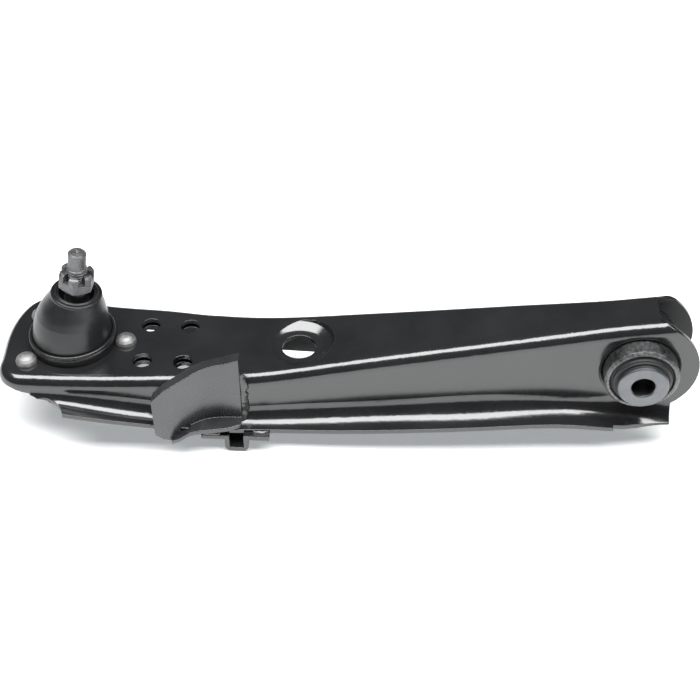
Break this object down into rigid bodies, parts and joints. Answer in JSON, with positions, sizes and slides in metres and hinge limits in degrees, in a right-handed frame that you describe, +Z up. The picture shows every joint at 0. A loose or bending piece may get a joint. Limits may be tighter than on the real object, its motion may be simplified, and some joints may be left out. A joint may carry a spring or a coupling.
{
  "type": "suspension control arm",
  "caption": "Pressed-steel hat-section lower control arm with a riveted, booted ball joint at one end, a rubber pivot bushing at the other and a welded stop bracket.",
  "frame": {"origin": "centre of the pivot bushing bore", "axes": "+X from the ball joint towards the pivot, +Y along the pivot bore to the rear, +Z up, the way the ball stud points"},
  "size_m": [0.4904, 0.1209, 0.1335],
  "materials": {
    "black_paint": "semi-gloss black electrocoat",
    "grey_bracket_paint": "semi-gloss charcoal electrocoat",
    "weld_bead": "painted over weld",
    "housing_paint": "satin black",
    "polymer_seat": "natural acetal",
    "spring_steel": "blued",
    "zinc_steel": "zinc plated",
    "rivet_steel": "bright formed heads",
    "phosphate_steel": "grey phosphate",
    "boot_rubber": "satin moulded",
    "boot_ring": "satin black",
    "sleeve_steel": "oiled dark steel",
    "bushing_rubber": "matte",
    "core_steel": "machined grey"
  },
  "bodies": {
    "arm": {"arm_channel": "black_paint", "reinforcement_plate": "black_paint", "stop_bracket": "grey_bracket_paint", "stop_bracket_weld": "weld_bead", "cross_bracket": "black_paint", "cross_bracket_welds": "weld_bead", "ball_joint_housing": "housing_paint", "upper_ball_seat": "polymer_seat", "lower_ball_seat": "polymer_seat", "preload_spring": "spring_steel", "ball_joint_cover": "zinc_steel", "grease_fitting": "zinc_steel", "grease_check_ball": "spring_steel", "ball_joint_rivets": "rivet_steel", "boot_lower_ring": "boot_ring", "bushing_outer_sleeve": "sleeve_steel", "bushing_rubber": "bushing_rubber"},
    "boot_body": {"dust_boot": "boot_rubber"},
    "boot_collar": {"boot_upper_ring": "boot_rubber"},
    "stud": {"ball_stud": "phosphate_steel", "castle_nut": "phosphate_steel"},
    "pivot_sleeve": {"bushing_inner_sleeve": "core_steel"}
  },
  "joints": [
    {"name": "ball_swing_travel", "type": "hinge", "parent": "arm", "child": "boot_body", "pos_m": [-0.4, 0, -0.0176], "axis": [0, 1, 0], "range_deg": [-30, 13], "deforming": ["dust_boot"]},
    {"name": "ball_swing_lateral", "type": "hinge", "parent": "boot_body", "child": "boot_collar", "pos_m": [-0.4, 0, -0.0176], "axis": [0.989, 0, -0.1478], "range_deg": [-15, 15], "deforming": ["dust_boot"]},
    {"name": "ball_spin", "type": "hinge", "parent": "boot_collar", "child": "stud", "pos_m": [-0.4, 0, -0.0176], "axis": [0.1478, 0, 0.989], "continuous": true},
    {"name": "bushing_twist", "type": "hinge", "parent": "arm", "child": "pivot_sleeve", "pos_m": [0, 0, 0], "axis": [0, 1, 0], "range_deg": [-25, 25], "stiffness_Nm_per_rad": 4}
  ]
}
